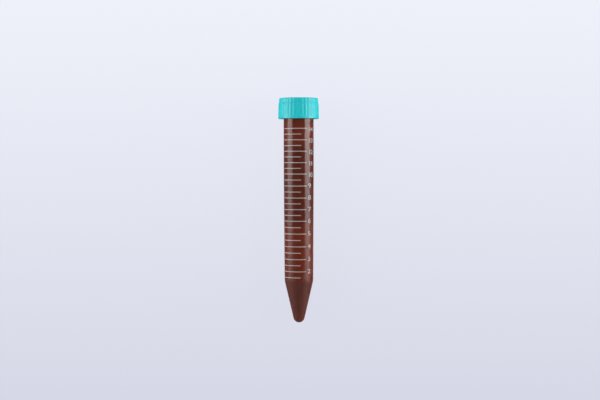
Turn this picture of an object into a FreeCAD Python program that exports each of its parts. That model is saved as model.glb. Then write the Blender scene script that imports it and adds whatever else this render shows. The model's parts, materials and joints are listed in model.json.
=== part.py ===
import FreeCAD, Part
import math
import os

# 15 ml conical tube with a screw cap, in millimetres.
# Both pieces are modelled upright on the tube's axis: tip at z = 0, mouth up.
# They are then laid down together as the closed tube rests on a bench.

# Whole object
total_length = 120.0            # tip to cap top, closed

# Tube: one moulding, open at the mouth
barrel_radius = 7.98            # outside, over the straight stretch below the cap
barrel_straight = 30.5          # length of that stretch, from the cap's lower edge down
barrel_taper = 0.33             # how much the outside narrows from there to the shoulder
neck_step = 0.2                 # how much thicker the neck is, inside the cap
mouth_wall = 0.8
shoulder_wall = 0.8
cone_length = 22.6              # tip to shoulder
cone_foot_radius = 2.39         # outside, where the cone's line meets the tip's plane
cone_wall = 1.0
tip_thickness = 1.7
tip_rounding = 2.9
tip_inner_rounding = 1.2
shoulder_rounding = 10.0
mouth_rounding = 0.25

# Screw thread on the neck
thread_pitch = 3.0
thread_height = 0.9
thread_base_width = 1.7
thread_crest_width = 0.7
thread_root_sink = 0.25         # how far the ridge's base is buried in the neck
thread_below_mouth = 1.3        # plain neck above the ridge
thread_above_cap_rim = 0.9      # plain neck between the ridge and the cap's lower edge

# Cap: one moulding with its plug seal
cap_height = 11.0
cap_top_thickness = 1.4
cap_skirt_wall = 1.5            # at the lower rim
cap_lead_in = 0.35              # chamfer inside the lower rim
cap_rim_rounding = 0.2
cap_bore_rounding = 0.3
plug_depth = 3.0
plug_wall = 0.8
plug_lead_in = 0.3

# Outside of the cap: a tapering grip, a bevelled crown and a flat top
grip_taper = 0.9                # degrees, narrowing upwards
crown_height = 2.7              # cap top down to the foot of the crown
crown_step = 0.22               # how far the crown's foot stands back from the grip
crown_step_height = 0.5
crown_taper = 3.5               # degrees
crown_rounding = 0.6
valley_count = 33
valley_depth = 0.2
valley_radius = 0.75
valley_start = 1.2              # height of the plain band under the valleys
valley_turn = 4.0               # degrees from the front to the nearest valley

# Where the turned surfaces of both pieces start and end
seam_turn = 3.0                 # degrees round from the side that +X faces

# Clearances between the two pieces
rim_clearance = 0.05            # mouth to the underside of the cap's top
plug_clearance = 0.06           # plug to the bore of the mouth, on the radius
thread_clearance = 0.27         # ridge crest to the bore of the cap, on the radius

# Heights and radii that follow
cap_bottom = total_length - cap_height
cap_underside = total_length - cap_top_thickness
mouth_height = cap_underside - rim_clearance
straight_foot = cap_bottom - barrel_straight
shoulder_radius = barrel_radius - barrel_taper
neck_radius = barrel_radius + neck_step
mouth_radius = neck_radius - mouth_wall
taper_angle = math.atan(barrel_taper / (straight_foot - cone_length))
cone_slope = (shoulder_radius - cone_foot_radius) / cone_length
cone_angle = math.atan(cone_slope)
bore_slope = (mouth_radius - shoulder_radius + shoulder_wall) / (mouth_height - cone_length)


def bore_radius(height):
    """Inside of the barrel, which widens all the way up to the mouth."""
    return mouth_radius - (mouth_height - height) * bore_slope


def cone_bore_radius(height):
    return cone_foot_radius + height * cone_slope - cone_wall / math.cos(cone_angle)


inner_shoulder_height = (bore_radius(0) - cone_bore_radius(0)) / (cone_slope - bore_slope)
plug_end = cap_underside - plug_depth
plug_radius = bore_radius(plug_end) - plug_clearance
cap_bore_radius = neck_radius + thread_height + thread_clearance
cap_rim_radius = cap_bore_radius + cap_skirt_wall


def revolved(corners):
    """Solid of revolution about Z from (radius, height, rounding) corners in order."""
    points = [FreeCAD.Vector(radius, 0, height) for radius, height, rounding in corners]
    starts, ends, arcs = [], [], []
    for here, point in enumerate(points):
        rounding = corners[here][2]
        back = (points[here - 1] - point).normalize()
        ahead = (points[(here + 1) % len(points)] - point).normalize()
        if not rounding:
            starts.append(point)
            ends.append(point)
            arcs.append(None)
            continue
        half_angle = back.getAngle(ahead) / 2
        reach = rounding / math.tan(half_angle)
        inward = (back + ahead).normalize()
        nearest = point + inward * (rounding / math.sin(half_angle) - rounding)
        starts.append(point + back * reach)
        ends.append(point + ahead * reach)
        arcs.append(Part.Arc(starts[-1], nearest, ends[-1]).toShape())
    edges = []
    for here, arc in enumerate(arcs):
        if arc:
            edges.append(arc)
        edges.append(Part.LineSegment(ends[here], starts[(here + 1) % len(starts)]).toShape())
    face = Part.Face(Part.Wire(edges))
    solid = face.revolve(FreeCAD.Vector(0, 0, 0), FreeCAD.Vector(0, 0, 1), 360)
    solid.rotate(FreeCAD.Vector(0, 0, 0), FreeCAD.Vector(0, 0, 1), seam_turn)
    return solid


def thread_ridge():
    """One ridge that winds up the neck, right-handed, with a tapering section."""
    foot = cap_bottom + thread_above_cap_rim + thread_base_width / 2
    head = mouth_height - thread_below_mouth - thread_base_width / 2
    helix = Part.makeLongHelix(thread_pitch, head - foot, neck_radius)
    half_section = [
        (neck_radius - thread_root_sink, thread_base_width / 2),
        (neck_radius + thread_height, thread_crest_width / 2),
    ]
    outline = [FreeCAD.Vector(radius, 0, -half) for radius, half in half_section]
    outline += [FreeCAD.Vector(radius, 0, half) for radius, half in reversed(half_section)]
    section = Part.makePolygon(outline + outline[:1])
    ridge = Part.Wire(helix.Edges).makePipeShell([section], True, True)
    ridge.translate(FreeCAD.Vector(0, 0, foot))
    return ridge


def make_tube():
    """Barrel, cone and rounded tip as one hollow wall, with the thread on its neck."""
    wall = revolved([
        (0, 0, 0),
        (cone_foot_radius, 0, tip_rounding),
        (shoulder_radius, cone_length, shoulder_rounding),
        (barrel_radius, straight_foot, 0),
        (barrel_radius, cap_bottom, 0),
        (neck_radius, cap_bottom + neck_step, 0),
        (neck_radius, mouth_height, mouth_rounding),
        (mouth_radius, mouth_height, mouth_rounding),
        (bore_radius(inner_shoulder_height), inner_shoulder_height, shoulder_rounding - shoulder_wall),
        (cone_bore_radius(tip_thickness), tip_thickness, tip_inner_rounding),
        (0, tip_thickness, 0),
    ])
    return wall.fuse(thread_ridge())


def grip_radius(height):
    return cap_rim_radius - (height - cap_bottom) * math.tan(math.radians(grip_taper))


crown_foot = total_length - crown_height
crown_radius = grip_radius(crown_foot) - crown_step


def valley_cutter():
    """A round-ended rod that follows the grip and the crown, sunk into them by the valley's depth."""
    reach = math.sqrt(valley_depth * (2 * valley_radius - valley_depth))
    foot = cap_bottom + valley_start + reach
    grip_top = crown_foot - crown_step_height
    over_top = total_length + valley_radius
    over_radius = crown_radius - (over_top - crown_foot) * math.tan(math.radians(crown_taper))
    stand_off = valley_radius - valley_depth
    route = [
        FreeCAD.Vector(grip_radius(foot) + stand_off, 0, foot),
        FreeCAD.Vector(grip_radius(grip_top) + stand_off, 0, grip_top),
        FreeCAD.Vector(crown_radius + stand_off, 0, crown_foot),
        FreeCAD.Vector(over_radius + stand_off, 0, over_top),
    ]
    along = route[1] - route[0]
    section = Part.Wire(Part.makeCircle(valley_radius, route[0], along))
    # the last argument gives the rod mitred corners
    rod = Part.makePolygon(route).makePipeShell([section], True, False, 1)
    return rod.fuse(Part.makeSphere(valley_radius, route[0], along))


def make_cap():
    """Skirt, flat top and plug ring as one solid, with valleys for grip."""
    top_radius = crown_radius - crown_height * math.tan(math.radians(crown_taper))
    cap = revolved([
        (cap_bore_radius + cap_lead_in, cap_bottom, 0),
        (cap_rim_radius, cap_bottom, cap_rim_rounding),
        (grip_radius(crown_foot - crown_step_height), crown_foot - crown_step_height, 0),
        (crown_radius, crown_foot, 0),
        (top_radius, total_length, crown_rounding),
        (0, total_length, 0),
        (0, cap_underside, 0),
        (plug_radius - plug_wall, cap_underside, cap_bore_rounding),
        (plug_radius - plug_wall, plug_end, 0),
        (plug_radius - plug_lead_in, plug_end, 0),
        (plug_radius, plug_end + plug_lead_in, 0),
        (plug_radius, cap_underside, 0),
        (cap_bore_radius, cap_underside, cap_bore_rounding),
        (cap_bore_radius, cap_bottom + cap_lead_in, 0),
    ])
    valleys = []
    for number in range(valley_count):
        valley = valley_cutter()
        # -90 degrees is the front, where the printed scale is
        turn = -90 + valley_turn + number * 360 / valley_count
        valley.rotate(FreeCAD.Vector(0, 0, 0), FreeCAD.Vector(0, 0, 1), turn)
        valleys.append(valley)
    return cap.cut(valleys)


def resting_tilt():
    """Degrees by which the axis rises towards the cap when the tube lies on a flat bench.

    It lies on two round edges: the cap's rim and the tube's shoulder.
    """
    # centres of the two roundings, along and out from the axis
    taper = math.radians(grip_taper)
    rim_along = cap_bottom + cap_rim_rounding
    rim_out = grip_radius(rim_along) - cap_rim_rounding / math.cos(taper)
    bend = (cone_angle + taper_angle) / 2
    half_turn = (cone_angle - taper_angle) / 2
    depth = shoulder_rounding / math.cos(half_turn)
    shoulder_along = cone_length + depth * math.sin(bend)
    shoulder_out = shoulder_radius - depth * math.cos(bend)
    along = rim_along - shoulder_along
    out = rim_out - shoulder_out
    apart = math.hypot(along, out)
    reach = (shoulder_rounding - cap_rim_rounding) / apart
    return math.degrees(math.atan2(out, along) - math.asin(reach))


def laid_down(pieces):
    """Turn the pieces from upright to lying along +Y, front up, centred over the origin."""
    for piece in pieces.values():
        piece.rotate(FreeCAD.Vector(0, 0, 0), FreeCAD.Vector(1, 0, 0), -90 + resting_tilt())
    box = Part.makeCompound(list(pieces.values())).optimalBoundingBox()
    shift = FreeCAD.Vector(0, -box.Center.y, -box.ZMin)
    for piece in pieces.values():
        piece.translate(shift)
    return pieces, shift


os.makedirs("parts", exist_ok=True)
parts, bench_shift = laid_down({"tube": make_tube(), "cap": make_cap()})
for name, shape in parts.items():
    shape.exportStep(f"parts/{name}.step")
    print(name, "valid", shape.isValid(), "solids", len(shape.Solids), "volume", round(shape.Volume, 2))
print("tilt", round(resting_tilt(), 4), "shift", bench_shift)
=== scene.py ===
import json
import math

import bmesh
import bpy
from mathutils import Matrix, Vector


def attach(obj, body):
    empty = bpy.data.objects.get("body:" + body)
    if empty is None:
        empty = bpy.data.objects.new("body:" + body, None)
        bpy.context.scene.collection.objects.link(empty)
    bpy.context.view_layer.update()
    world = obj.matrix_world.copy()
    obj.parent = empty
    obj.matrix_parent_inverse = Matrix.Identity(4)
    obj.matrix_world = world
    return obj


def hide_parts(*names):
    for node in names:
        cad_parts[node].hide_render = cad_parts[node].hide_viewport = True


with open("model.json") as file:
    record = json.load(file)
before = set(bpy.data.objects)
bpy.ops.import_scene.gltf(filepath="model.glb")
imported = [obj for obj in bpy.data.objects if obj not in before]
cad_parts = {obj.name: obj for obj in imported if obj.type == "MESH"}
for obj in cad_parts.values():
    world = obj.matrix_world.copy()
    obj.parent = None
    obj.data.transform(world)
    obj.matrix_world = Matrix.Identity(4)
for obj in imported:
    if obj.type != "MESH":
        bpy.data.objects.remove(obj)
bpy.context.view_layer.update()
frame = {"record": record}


# ---------------------------------------------------------------------------------------- tube
# The tube is one injection moulding in amber polypropylene: a long barrel with a conical end,
# open at the mouth, with a right-hand screw thread on its thicker neck. It lies with its printed
# scale up, on its shoulder and on the cap's rim.
mm = 0.001
total_length = 120.0 * mm       # tip to cap top
barrel_radius = 7.98 * mm
barrel_straight = 30.5 * mm     # length of the straight stretch below the cap
barrel_taper = 0.33 * mm        # how much the outside narrows from there to the shoulder
neck_step = 0.2 * mm
mouth_wall = 0.8 * mm
shoulder_wall = 0.8 * mm
cone_length = 22.6 * mm
cone_foot_radius = 2.39 * mm
cone_wall = 1.0 * mm
tip_thickness = 1.7 * mm
tip_rounding = 2.9 * mm
tip_inner_rounding = 1.2 * mm
shoulder_rounding = 10.0 * mm
mouth_rounding = 0.25 * mm
cap_height = 11.0 * mm
cap_top_thickness = 1.4 * mm
rim_clearance = 0.05 * mm

cap_bottom = total_length - cap_height
cap_underside = total_length - cap_top_thickness
mouth_height = cap_underside - rim_clearance
straight_foot = cap_bottom - barrel_straight
shoulder_radius = barrel_radius - barrel_taper
neck_radius = barrel_radius + neck_step
mouth_radius = neck_radius - mouth_wall
cone_slope = (shoulder_radius - cone_foot_radius) / cone_length
bore_slope = (mouth_radius - shoulder_radius + shoulder_wall) / (mouth_height - cone_length)

# The pieces are made upright, tip at the origin and scale facing -Y, and then laid down.
cap_top = next(mount for mount in frame["record"]["mounts"] if mount["name"] == "cap_top")
along = Vector(cap_top["axis"]).normalized()
sideways = Vector((1, 0, 0))
facing = sideways.cross(along)
tip = Vector(cap_top["pos_m"]) - along * total_length
lay_down = Matrix.Translation(tip) @ Matrix((sideways, -facing, along)).transposed().to_4x4()


def bore_radius(height):
    """Inside of the barrel, which widens all the way up to the mouth."""
    return mouth_radius - (mouth_height - height) * bore_slope


def cone_bore_radius(height):
    wall_across = cone_wall * math.sqrt(1 + cone_slope ** 2)
    return cone_foot_radius + height * cone_slope - wall_across


def outline(corners, arc_segments=10):
    """Half section in the XZ plane through (radius, height, rounding) corners, as a wire."""
    bm = bmesh.new()
    points = [Vector((radius, 0, height)) for radius, height, rounding in corners]
    verts = [bm.verts.new(point) for point in points]
    for pair in zip(verts, verts[1:]):
        bm.edges.new(pair)
    for number, (radius, height, rounding) in enumerate(corners):
        if rounding:
            back = points[number - 1] - points[number]
            ahead = points[number + 1] - points[number]
            bmesh.ops.bevel(
                bm, geom=[verts[number]], offset=rounding / math.tan(back.angle(ahead) / 2),
                offset_type="OFFSET", affect="VERTICES", segments=arc_segments, profile=0.5,
                material=-1, clamp_overlap=False)
    return bm


def turn_round(bm, steps):
    """Spins an outline that starts and ends on the axis into a closed shell."""
    bmesh.ops.spin(
        bm, geom=bm.verts[:] + bm.edges[:], cent=(0, 0, 0), axis=(0, 0, 1),
        angle=math.tau, steps=steps, use_merge=True)
    bmesh.ops.remove_doubles(bm, verts=bm.verts, dist=1e-7)
    bmesh.ops.recalc_face_normals(bm, faces=bm.faces)


def ease(share):
    share = min(max(share, 0.0), 1.0)
    return share * share * (3 - 2 * share)


def screw_ridge(root, crest, foot, head, pitch, base_width, crest_width):
    """Ridge that winds from foot to head, right-handed, and runs out over its ends."""
    steps_a_turn = 120
    run_out = 50                    # degrees
    turns = (head - foot) / pitch
    steps = round(turns * steps_a_turn)
    section = [(root, -base_width / 2), (crest, -crest_width / 2),
               (crest, crest_width / 2), (root, base_width / 2)]
    bm = bmesh.new()
    face = bm.faces.new([bm.verts.new((radius, 0, foot + rise)) for radius, rise in section])
    bmesh.ops.spin(
        bm, geom=[face, *face.verts, *face.edges], cent=(0, 0, 0), axis=(0, 0, 1),
        dvec=(0, 0, (head - foot) / steps), angle=turns * math.tau, steps=steps)
    for number, vert in enumerate(bm.verts):
        step = number // len(section)
        share = ease(min(step, steps - step) * 360 / steps_a_turn / run_out)
        radius = vert.co.xy.length
        vert.co.xy *= (root + (radius - root) * share) / radius
    bmesh.ops.recalc_face_normals(bm, faces=bm.faces)
    # a ridge that points inwards, as the cap's does, can still come out inside out
    if bm.calc_volume(signed=True) < 0:
        bmesh.ops.reverse_faces(bm, faces=bm.faces)
    return bm


def make_piece(bm, name):
    mesh = bpy.data.meshes.new(name)
    bm.to_mesh(mesh)
    bm.free()
    piece = bpy.data.objects.new(name, mesh)
    bpy.context.scene.collection.objects.link(piece)
    return piece


def weld(piece, ridge):
    """Joins the ridge to the piece as one skin, as they are moulded."""
    union = piece.modifiers.new("weld", "BOOLEAN")
    union.object = ridge
    union.operation = "UNION"
    union.solver = "EXACT"
    moulded = piece.evaluated_get(bpy.context.evaluated_depsgraph_get())
    piece.data = bpy.data.meshes.new_from_object(moulded)
    piece.data.name = piece.name
    piece.modifiers.clear()
    bpy.data.objects.remove(ridge)


def finish_piece(piece, material, body):
    """Lays a piece down, smooths all but its edges, and gives it its material and body."""
    crease = 30                     # degrees between two faces, from which their edge is sharp
    piece.data.transform(lay_down)
    piece.data.shade_smooth()
    piece.data.set_sharp_from_angle(angle=math.radians(crease))
    piece.data.materials.clear()
    piece.data.materials.append(material)
    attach(piece, body)


thread_pitch = 3.0 * mm
thread_height = 0.9 * mm
thread_base_width = 1.7 * mm
thread_crest_width = 0.7 * mm
thread_root_sink = 0.25 * mm
thread_below_mouth = 1.3 * mm
thread_above_cap_rim = 0.9 * mm

inner_shoulder_height = (bore_radius(0) - cone_bore_radius(0)) / (cone_slope - bore_slope)
tube_outline = outline([
    (0, 0, 0),
    (cone_foot_radius, 0, tip_rounding),
    (shoulder_radius, cone_length, shoulder_rounding),
    (barrel_radius, straight_foot, 0),
    (barrel_radius, cap_bottom, 0),
    (neck_radius, cap_bottom + neck_step, 0),
    (neck_radius, mouth_height, mouth_rounding),
    (mouth_radius, mouth_height, mouth_rounding),
    (bore_radius(inner_shoulder_height), inner_shoulder_height, shoulder_rounding - shoulder_wall),
    (cone_bore_radius(tip_thickness), tip_thickness, tip_inner_rounding),
    (0, tip_thickness, 0),
])
tube_columns = 240              # of faces, round the axis
turn_round(tube_outline, tube_columns)
tube_body = make_piece(tube_outline, "tube_body")
neck_thread_foot = cap_bottom + thread_above_cap_rim + thread_base_width / 2
neck_thread_head = mouth_height - thread_below_mouth - thread_base_width / 2
weld(tube_body, make_piece(screw_ridge(
    neck_radius - thread_root_sink, neck_radius + thread_height,
    neck_thread_foot, neck_thread_head,
    thread_pitch, thread_base_width, thread_crest_width), "neck_thread"))


def hex_colour(code):
    """An sRGB hex code as linear red, green, blue and alpha."""
    shares = [int(code[place:place + 2], 16) / 255 for place in (1, 3, 5)]
    linear = [
        share / 12.92 if share <= 0.04045 else ((share + 0.055) / 1.055) ** 2.4
        for share in shares]
    return (*linear, 1.0)


def add_node(tree, kind, sockets=None, **settings):
    """Adds a node, sets its settings, and fills or links its sockets."""
    node = tree.nodes.new(kind)
    for name, value in settings.items():
        setattr(node, name, value)
    for name, value in (sockets or {}).items():
        if isinstance(value, bpy.types.NodeSocket):
            tree.links.new(value, node.inputs[name])
        else:
            node.inputs[name].default_value = value
    return node


def new_material(name):
    """An empty material, its node tree, and coordinates that stand upright on the tube's axis."""
    material = bpy.data.materials.new(name)
    material.use_nodes = True
    tree = material.node_tree
    tree.nodes.clear()
    place = add_node(tree, "ShaderNodeTexCoord")
    upright = add_node(
        tree, "ShaderNodeMapping",
        {"Vector": place.outputs["Object"], "Location": tip, "Rotation": lay_down.to_euler()},
        vector_type="TEXTURE")
    return material, tree, upright.outputs["Vector"]


# Injection-moulded polypropylene, tinted amber: a glossy barrel that lets some light through,
# and a cone whose thicker wall is duller and nearly opaque.
amber_polypropylene, tree, upright = new_material("amber_polypropylene")
height = add_node(tree, "ShaderNodeSeparateXYZ", {"Vector": upright}).outputs["Z"]
# 0 up the barrel and 1 down the cone, blended over 8 mm at the shoulder
in_cone = add_node(
    tree, "ShaderNodeMapRange",
    {"Value": height, "From Min": cone_length + 5 * mm, "From Max": cone_length - 3 * mm},
    interpolation_type="SMOOTHSTEP").outputs["Result"]
# the wall is darker along the middle of the barrel, and blends back to its plain tone over these heights
# in mm
darker_band_edges = [
    add_node(
        tree, "ShaderNodeMapRange",
        {"Value": height, "From Min": outer * mm, "From Max": inner * mm},
        interpolation_type="SMOOTHSTEP").outputs["Result"]
    for outer, inner in ((48, 56), (99, 92))]
darker_band = add_node(
    tree, "ShaderNodeMath", {0: darker_band_edges[0], 1: darker_band_edges[1]}, operation="MULTIPLY").outputs[0]
# flow marks run along the barrel, about 1.5 mm apart and ten times as long
flow_place = add_node(tree, "ShaderNodeMapping", {"Vector": upright, "Scale": (1, 1, 0.1)})
flow = add_node(
    tree, "ShaderNodeTexNoise",
    {"Vector": flow_place.outputs["Vector"], "Scale": 1 / (1.5 * mm), "Detail": 3.0}).outputs["Fac"]
wall_colour = add_node(
    tree, "ShaderNodeMix",
    {"Factor": in_cone, "A": hex_colour("#9a4124"), "B": hex_colour("#793b2c")}, data_type="RGBA")
flow_tint = add_node(
    tree, "ShaderNodeMapRange",
    {"Value": flow, "From Min": 0.3, "From Max": 0.7, "To Min": 0.94, "To Max": 1.06}).outputs["Result"]
tinted = add_node(
    tree, "ShaderNodeVectorMath",
    {0: wall_colour.outputs[2], "Scale": flow_tint}, operation="SCALE").outputs["Vector"]
# darkens the wall inside that band to 0.7 of its tone
band_darkening = add_node(
    tree, "ShaderNodeMapRange", {"Value": darker_band, "To Min": 1.0, "To Max": 0.7}).outputs["Result"]
tinted = add_node(
    tree, "ShaderNodeVectorMath", {0: tinted, "Scale": band_darkening}, operation="SCALE").outputs["Vector"]
dullness = add_node(
    tree, "ShaderNodeMapRange",
    {"Value": in_cone, "To Min": 0.11, "To Max": 0.42}).outputs["Result"]
see_through = add_node(
    tree, "ShaderNodeMapRange",
    {"Value": in_cone, "To Min": 0.35, "To Max": 0.25}).outputs["Result"]
# fine orange peel of the mould's surface, 0.4 mm across
peel = add_node(
    tree, "ShaderNodeTexNoise",
    {"Vector": upright, "Scale": 1 / (0.4 * mm), "Detail": 2.0}).outputs["Fac"]
peel_bump = add_node(
    tree, "ShaderNodeBump", {"Height": peel, "Distance": 0.001 * mm, "Strength": 1.0})
wall = add_node(
    tree, "ShaderNodeBsdfPrincipled",
    {"Base Color": tinted, "Roughness": dullness, "IOR": 1.49, "Transmission Weight": see_through,
     "Subsurface Weight": 1.0, "Subsurface Radius": (4.0, 1.5, 1.0), "Subsurface Scale": 1.5 * mm,
     "Normal": peel_bump.outputs["Normal"]})
add_node(tree, "ShaderNodeOutputMaterial", {"Surface": wall.outputs["BSDF"]})

finish_piece(tube_body, amber_polypropylene, "tube")
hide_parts("tube")


# --------------------------------------------------------------------------------- scale marks
# The volume scale is screen-printed on the barrel in white ink: a long mark at each millilitre
# and a shorter one at each half, from 1.5 to 14 ml.
ink_thickness = 0.03 * mm
ink_sink = 0.004 * mm           # how far the ink reaches into the wall
mark_width = 0.34 * mm
mark_step = 1.5                 # degrees from one column of a mark's faces to the next
print_lean = 3.5                # degrees that the print turns between its foot and its top
marks_start = -74.0             # degrees round the barrel from its front, at the print's foot
long_mark_end = 29.0
short_mark_end = 6.5

# heights of some marks above the tip, by their volume: between them the marks are evenly spaced
graduation = ((1.5, 24.58 * mm), (3, 34.28 * mm), (6, 54.63 * mm), (8, 66.92 * mm),
              (10, 79.62 * mm), (14, 103.74 * mm))


def height_of_volume(millilitres):
    for (low, foot), (high, head) in zip(graduation, graduation[1:]):
        if millilitres <= high:
            break
    return foot + (head - foot) * (millilitres - low) / (high - low)


def barrel_outside(height):
    share = min(max((height - cone_length) / (straight_foot - cone_length), 0), 1)
    return shoulder_radius + barrel_taper * share


print_foot = height_of_volume(1.5)
print_head = height_of_volume(14)


def lean_at(height):
    return print_lean * (height - print_foot) / (print_head - print_foot)


# the marks are counted in half millilitres, from 1.5 to 14
marks = bmesh.new()
for half_count in range(3, 29):
    mark_height = height_of_volume(half_count / 2)
    mark_end = short_mark_end if half_count % 2 else long_mark_end
    start = math.radians(marks_start + lean_at(mark_height) - 90)
    sweep = math.radians(mark_end - marks_start)
    section = []
    for edge, lift in ((-1, -ink_sink), (-1, ink_thickness), (1, ink_thickness), (1, -ink_sink)):
        edge_height = mark_height + edge * mark_width / 2
        radius = barrel_outside(edge_height) + lift
        section.append(marks.verts.new((radius * math.cos(start), radius * math.sin(start), edge_height)))
    face = marks.faces.new(section)
    bmesh.ops.spin(
        marks, geom=[face, *face.verts, *face.edges], cent=(0, 0, 0), axis=(0, 0, 1),
        angle=sweep, steps=round(math.degrees(sweep) / mark_step))
bmesh.ops.recalc_face_normals(marks, faces=marks.faces)
scale_marks = make_piece(marks, "scale_marks")

# Opaque white screen ink on polypropylene: dull, and a little thinner in patches.
white_ink, tree, upright = new_material("white_screen_ink")
patches = add_node(
    tree, "ShaderNodeTexNoise", {"Vector": upright, "Scale": 1 / (0.8 * mm), "Detail": 2.0})
ink_colour = add_node(
    tree, "ShaderNodeMix",
    {"Factor": patches.outputs["Fac"], "A": hex_colour("#e0dfe2"), "B": hex_colour("#cccacd")},
    data_type="RGBA")
ink = add_node(
    tree, "ShaderNodeBsdfPrincipled",
    {"Base Color": ink_colour.outputs[2], "Roughness": 0.4, "IOR": 1.5})
add_node(tree, "ShaderNodeOutputMaterial", {"Surface": ink.outputs["BSDF"]})
finish_piece(scale_marks, white_ink, "tube")


# ------------------------------------------------------------------------------ scale numerals
# Plain numerals from 2 to 14 stand to the right of the long marks, printed in the same pass and
# ink. Each figure is a thin layer of ink, made flat and then bent round the barrel.
figure_height = 2.3 * mm
figure_spread = 1.4             # how much wider they are than the type's own figures
figure_step = 1.7 * mm          # from one figure's middle to the next
numerals_start = 44.5           # degrees from the front to the first figure's middle
figure_raise = {1: 0.25 * mm, 2: -0.4 * mm}    # above the mark, by how many figures there are
bend_step = 0.25 * mm           # from one cut to the next, where a figure can bend
type_height = 0.69              # of a figure, in type of size 1


def flat_figure(figure):
    """One figure of ink, flat in XY, about the middle of its width and height."""
    writing = bpy.data.curves.new("figure", "FONT")
    writing.body = figure
    writing.size = figure_height / type_height
    writing.align_x = "CENTER"
    writing.resolution_u = 4
    line = bpy.data.objects.new("figure", writing)
    flat = bpy.data.meshes.new_from_object(line)
    bpy.data.objects.remove(line)
    bm = bmesh.new()
    bm.from_mesh(flat)
    bmesh.ops.remove_doubles(bm, verts=bm.verts, dist=1e-7)
    bmesh.ops.beautify_fill(bm, faces=bm.faces, edges=bm.edges)
    bmesh.ops.translate(bm, verts=bm.verts, vec=(0, -figure_height / 2, 0))
    bmesh.ops.scale(bm, verts=bm.verts, vec=(figure_spread, 1, 1))
    half_bends = math.ceil(figure_height / 2 / bend_step)
    for bend in range(-half_bends, half_bends + 1):
        bmesh.ops.bisect_plane(
            bm, geom=bm.verts[:] + bm.edges[:] + bm.faces[:], dist=1e-6,
            plane_co=(bend * bend_step, 0, 0), plane_no=(1, 0, 0))
    bmesh.ops.solidify(bm, geom=bm.faces, thickness=ink_sink + ink_thickness)
    return bm


numerals = bmesh.new()
for millilitres in range(2, 15):
    mark_height = height_of_volume(millilitres)
    for place, figure in enumerate(str(millilitres)):
        bent = flat_figure(figure)
        for vert in bent.verts:
            across, rise, lift = vert.co
            height = mark_height + figure_raise[len(str(millilitres))] + rise
            radius = barrel_outside(height) + ink_thickness
            turn = math.radians(numerals_start + lean_at(height) - 90)
            turn += (place * figure_step + across) / radius
            radius += lift
            vert.co = radius * math.cos(turn), radius * math.sin(turn), height
        figure_mesh = bpy.data.meshes.new("figure")
        bent.to_mesh(figure_mesh)
        bent.free()
        numerals.from_mesh(figure_mesh)
        bpy.data.meshes.remove(figure_mesh)
bmesh.ops.recalc_face_normals(numerals, faces=numerals.faces)
scale_numerals = make_piece(numerals, "scale_numerals")
finish_piece(scale_numerals, white_ink, "tube")


# -------------------------------------------------------------------------------------- cap
# The cap is one injection moulding in turquoise polyethylene: a skirt with 33 grip valleys, a
# flat top, a thread inside that meets the neck's, and a plug ring that seals the mouth.
cap_skirt_wall = 1.5 * mm
thread_clearance = 0.27 * mm
cap_bore_radius = neck_radius + thread_height + thread_clearance
cap_rim_radius = cap_bore_radius + cap_skirt_wall
cap_lead_in = 0.35 * mm         # chamfer inside the lower rim
cap_rim_rounding = 0.2 * mm
cap_bore_rounding = 0.3 * mm

grip_taper = 0.9                # degrees, narrowing upwards
crown_height = 2.7 * mm
crown_step = 0.22 * mm          # how far the crown's foot stands back from the grip
crown_step_height = 0.5 * mm
crown_taper = 3.5               # degrees
crown_rounding = 0.6 * mm
grip_slope = math.tan(math.radians(grip_taper))
crown_slope = math.tan(math.radians(crown_taper))

plug_depth = 3.0 * mm
plug_clearance = 0.06 * mm
plug_wall = 0.8 * mm
plug_lead_in = 0.3 * mm
plug_end = cap_underside - plug_depth
plug_radius = bore_radius(plug_end) - plug_clearance
plug_inside = plug_radius - plug_wall

valley_count = 33
valley_depth = 0.14 * mm
valley_half_width = 0.75 * mm
valley_start = 1.2 * mm         # height of the plain band under the valleys
valley_foot = cap_bottom + valley_start
valley_run_out = 0.6 * mm
valley_turn = 4.0               # degrees from the front to the nearest valley
columns_a_valley = 16
row_height = 0.16 * mm          # of the faces up the outside


def grip_radius(height):
    return cap_rim_radius - (height - cap_bottom) * grip_slope


crown_foot = total_length - crown_height
crown_radius = grip_radius(crown_foot) - crown_step
grip_top = crown_foot - crown_step_height


def skin_radius(height):
    """Outside of the cap: the grip, the step above it and the crown."""
    if height < grip_top:
        return grip_radius(height)
    on_crown = crown_radius - max(height - crown_foot, 0) * crown_slope
    below_crown = max(crown_foot - height, 0) / crown_step_height
    return on_crown + (grip_radius(grip_top) - crown_radius) * below_crown


cap = outline([
    (0, cap_underside, 0),
    (plug_inside, cap_underside, cap_bore_rounding),
    (plug_inside, plug_end, 0),
    (plug_radius - plug_lead_in, plug_end, 0),
    (plug_radius, plug_end + plug_lead_in, 0),
    (plug_radius, cap_underside, 0),
    (cap_bore_radius, cap_underside, cap_bore_rounding),
    (cap_bore_radius, cap_bottom + cap_lead_in, 0),
    (cap_bore_radius + cap_lead_in, cap_bottom, 0),
    (cap_rim_radius, cap_bottom, cap_rim_rounding),
    (grip_radius(grip_top), grip_top, 0),
    (crown_radius, crown_foot, 0),
    (crown_radius - crown_height * crown_slope, total_length, crown_rounding),
    (0, total_length, 0),
], arc_segments=6)
for edge in cap.edges[:]:
    outside = min(vert.co.x for vert in edge.verts) > cap_bore_radius + cap_lead_in
    if outside and edge.calc_length() > 2 * row_height:
        bmesh.ops.subdivide_edges(cap, edges=[edge], cuts=round(edge.calc_length() / row_height))
turn_round(cap, valley_count * columns_a_valley)

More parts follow.
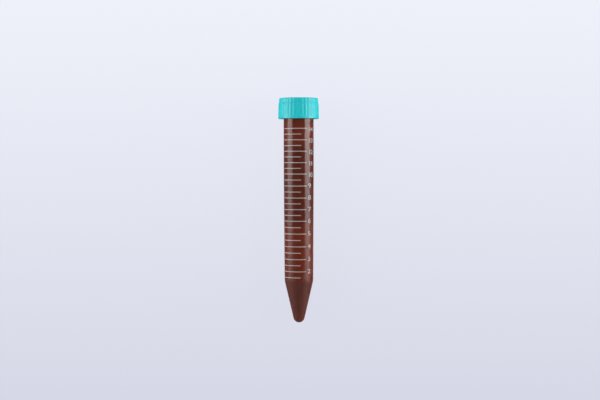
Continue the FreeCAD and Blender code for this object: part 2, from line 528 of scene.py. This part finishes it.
# Each valley runs up the grip and the crown with rounded lips, and runs out at its foot.
valley_spacing = math.tau / valley_count
for vert in cap.verts:
    radius = vert.co.xy.length
    valley_floor = skin_radius(vert.co.z) - valley_depth
    if radius < valley_floor or vert.co.z < valley_foot:
        continue
    turn = math.atan2(vert.co.y, vert.co.x) + math.radians(90 - valley_turn)
    from_middle = abs((turn / valley_spacing + 0.5) % 1 - 0.5) * valley_spacing * radius
    share = ease(1 - from_middle / valley_half_width)
    share *= ease((vert.co.z - valley_foot) / valley_run_out)
    vert.co.xy *= 1 - (radius - valley_floor) * share / radius
cap_body = make_piece(cap, "cap_body")
# the closed cap's ridge lies just under the neck's, with 0.06 mm between their flanks
cap_thread_height = 0.85 * mm
cap_thread_drop = 1.02 * mm     # from the middle of the neck's ridge down to the cap's
cap_thread_foot = neck_thread_foot + thread_pitch - cap_thread_drop
cap_thread_below_top = 1.6 * mm
cap_thread_head = cap_underside - cap_thread_below_top
weld(cap_body, make_piece(screw_ridge(
    cap_bore_radius + thread_root_sink, cap_bore_radius - cap_thread_height,
    cap_thread_foot, cap_thread_head,
    thread_pitch, thread_base_width, thread_crest_width), "cap_thread"))

# Injection-moulded polyethylene, coloured turquoise: satin, a little translucent at its edges,
# with faint clouds of pigment 3 mm across and a fine grain from the mould, 0.15 mm across.
turquoise_polyethylene, tree, upright = new_material("turquoise_polyethylene")
cloud = add_node(
    tree, "ShaderNodeTexNoise", {"Vector": upright, "Scale": 1 / (3 * mm), "Detail": 3.0})
cap_colour = add_node(
    tree, "ShaderNodeMix",
    {"Factor": cloud.outputs["Fac"], "A": hex_colour("#24ebfb"), "B": hex_colour("#2ef1ff")},
    data_type="RGBA")
grain = add_node(
    tree, "ShaderNodeTexNoise", {"Vector": upright, "Scale": 1 / (0.15 * mm), "Detail": 2.0})
satin = add_node(
    tree, "ShaderNodeMapRange",
    {"Value": grain.outputs["Fac"], "To Min": 0.3, "To Max": 0.42})
grain_bump = add_node(
    tree, "ShaderNodeBump", {"Height": grain.outputs["Fac"], "Distance": 0.004 * mm, "Strength": 1.0})
cap_plastic = add_node(
    tree, "ShaderNodeBsdfPrincipled",
    {"Base Color": cap_colour.outputs[2], "Roughness": satin.outputs["Result"], "IOR": 1.51,
     "Subsurface Weight": 0.7, "Subsurface Radius": (0.4, 1.0, 1.0), "Subsurface Scale": 1.5 * mm,
     "Normal": grain_bump.outputs["Normal"]})
add_node(tree, "ShaderNodeOutputMaterial", {"Surface": cap_plastic.outputs["BSDF"]})
finish_piece(cap_body, turquoise_polyethylene, "cap")
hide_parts("cap")


# ------------------------------------------------------------------------------------- studio
# A pale satin bench, two soft panels that stand left and right of the tube, dimmer towards its
# tip, and a room that is dim overhead.
bpy.context.scene.view_settings.view_transform = "Standard"

bench_reach = 6.0               # metres, to each side
bench_drop = 0.02 * mm          # keeps the tube's lowest points clear of the bench
floor_mesh = bmesh.new()
bmesh.ops.create_grid(floor_mesh, x_segments=1, y_segments=1, size=bench_reach)
floor = make_piece(floor_mesh, "floor")
floor.data.transform(Matrix.Translation((0, 0, -bench_drop)))
bench_top = bpy.data.materials.new("pale_bench")
bench_top.use_nodes = True
tree = bench_top.node_tree
tree.nodes.clear()
place = add_node(tree, "ShaderNodeTexCoord")
along_bench = add_node(tree, "ShaderNodeSeparateXYZ", {"Vector": place.outputs["Object"]})
# the bench that the camera sees is painted darker towards the tip: a painted fall-off of light by about a
# fifth over 0.21 m, from beyond the cap to before the tip
painted_fall_off = add_node(
    tree, "ShaderNodeMapRange",
    {"Value": along_bench.outputs["Y"], "From Min": -0.10, "From Max": 0.11}).outputs["Result"]
painted_fall_off_tone = add_node(
    tree, "ShaderNodeMix",
    {"Factor": painted_fall_off, "A": hex_colour("#dadceb"), "B": hex_colour("#f4f6ff")},
    data_type="RGBA").outputs[2]
path = add_node(tree, "ShaderNodeLightPath")
seen = add_node(
    tree, "ShaderNodeMath",
    {0: path.outputs["Is Camera Ray"], 1: path.outputs["Is Transmission Ray"]}, operation="MAXIMUM")
# round the tube the bench takes its shadow and the panels' light, and further out it is plain
from_tube = add_node(
    tree, "ShaderNodeVectorMath", {0: place.outputs["Object"]}, operation="LENGTH").outputs["Value"]
plainness = add_node(
    tree, "ShaderNodeMapRange",
    {"Value": from_tube, "From Min": 0.25, "From Max": 0.6, "To Min": 0.9, "To Max": 1.0},
    interpolation_type="SMOOTHSTEP").outputs["Result"]
pale_share = add_node(
    tree, "ShaderNodeMath", {0: seen.outputs[0], 1: plainness}, operation="MULTIPLY")
# what the tube mirrors of the bench is painted darker than the bench the camera sees: a painted dark
# reflection, darkest beyond the cap
painted_dark_reflection = add_node(
    tree, "ShaderNodeMix",
    {"Factor": painted_fall_off, "A": hex_colour("#d2d4dc"), "B": hex_colour("#606269")},
    data_type="RGBA").outputs[2]
bench_colour = add_node(
    tree, "ShaderNodeMix",
    {"Factor": path.outputs["Is Glossy Ray"], "A": hex_colour("#dfe2f4"), "B": painted_dark_reflection},
    data_type="RGBA").outputs[2]
matt = add_node(tree, "ShaderNodeBsdfDiffuse", {"Color": bench_colour})
polish = add_node(tree, "ShaderNodeBsdfGlossy", {"Roughness": 0.35})
glance = add_node(tree, "ShaderNodeFresnel", {"IOR": 1.22})
true_bench = add_node(
    tree, "ShaderNodeMixShader", {0: glance.outputs[0], 1: matt.outputs[0], 2: polish.outputs[0]})
# an even glow that carries the painted fall-off of light along the bench
pale_bench = add_node(tree, "ShaderNodeEmission", {"Color": painted_fall_off_tone, "Strength": 1.0})
bench = add_node(
    tree, "ShaderNodeMixShader",
    {0: pale_share.outputs[0], 1: true_bench.outputs[0], 2: pale_bench.outputs[0]})
add_node(tree, "ShaderNodeOutputMaterial", {"Surface": bench.outputs[0]})
floor.data.materials.append(bench_top)

panel_distance = 0.8            # metres from the tube's axis
panel_foot = -0.25              # where the panels start, along the bench
dim_below = -0.15               # along the bench, where they are dimmest
bright_above = 0.06             # and where they are at full strength
for side, panel_length, panel_height, panel_lift, radiance, dimmest in (
        (-1, 0.7, 0.66, 0.015, 3.5, 0.18), (1, 0.55, 0.71, 0.0, 4.95, 0.27)):
    light = bpy.data.lights.new("soft_panel", "AREA")
    light.shape = "RECTANGLE"
    light.size = panel_height
    light.size_y = panel_length
    light.color = (1.0, 0.95, 0.935)
    light.energy = radiance * math.pi * panel_height * panel_length
    light.use_nodes = True
    tree = light.node_tree
    tree.nodes.clear()
    over_panel = add_node(tree, "ShaderNodeNewGeometry")
    along_panel = add_node(tree, "ShaderNodeSeparateXYZ", {"Vector": over_panel.outputs["Parametric"]})
    strength = add_node(
        tree, "ShaderNodeMapRange",
        {"Value": along_panel.outputs["Y"], "From Min": (dim_below - panel_foot) / panel_length,
         "From Max": (bright_above - panel_foot) / panel_length, "To Min": dimmest, "To Max": 1.0})
    glow = add_node(tree, "ShaderNodeEmission", {"Strength": strength.outputs["Result"]})
    add_node(tree, "ShaderNodeOutputLight", {"Surface": glow.outputs[0]})
    panel = bpy.data.objects.new("soft_panel", light)
    panel.location = (
        side * panel_distance, panel_foot + panel_length / 2, panel_lift + panel_height / 2)
    panel.rotation_euler = (0, side * math.pi / 2, 0)
    panel.visible_camera = False
    bpy.context.scene.collection.objects.link(panel)

room = bpy.data.worlds.new("room")
room.use_nodes = True
tree = room.node_tree
tree.nodes.clear()
path = add_node(tree, "ShaderNodeLightPath")
direction = add_node(tree, "ShaderNodeTexCoord")
rise = add_node(tree, "ShaderNodeSeparateXYZ", {"Vector": direction.outputs["Generated"]})
dim = add_node(
    tree, "ShaderNodeMapRange",
    {"Value": rise.outputs["Z"], "From Min": 0.2, "From Max": 0.95, "To Min": 0.5, "To Max": 0.17})
room_light = add_node(
    tree, "ShaderNodeBackground", {"Color": (1, 1, 1, 1), "Strength": dim.outputs["Result"]})
backdrop = add_node(tree, "ShaderNodeBackground", {"Color": hex_colour("#e4e6f2"), "Strength": 1.0})
seen = add_node(
    tree, "ShaderNodeMath",
    {0: path.outputs["Is Camera Ray"], 1: path.outputs["Is Transmission Ray"]}, operation="MAXIMUM")
sky = add_node(
    tree, "ShaderNodeMixShader",
    {0: seen.outputs[0], 1: room_light.outputs[0], 2: backdrop.outputs[0]})
add_node(tree, "ShaderNodeOutputWorld", {"Surface": sky.outputs[0]})
bpy.context.scene.world = room

# The camera stands square on to the printed scale, a little above the middle of its height,
# and looks down on the lying tube.
camera_distance = 641.5 * mm
camera_height = 85.4 * mm
camera_aside = 0.65 * mm
camera_pitch = math.radians(1.762)      # downwards, towards the tip
camera_roll = math.radians(-0.11)
lens = bpy.data.cameras.new("camera")
lens.sensor_width = 36
lens.lens = 72
camera = bpy.data.objects.new("camera", lens)
bpy.context.scene.collection.objects.link(camera)
aim = Matrix.Translation((camera_aside, -camera_distance, camera_height))
aim = aim @ Matrix.Rotation(math.pi / 2 - camera_pitch, 4, "X") @ Matrix.Rotation(camera_roll, 4, "Z")
camera.matrix_world = lay_down @ aim
bpy.context.scene.camera = camera
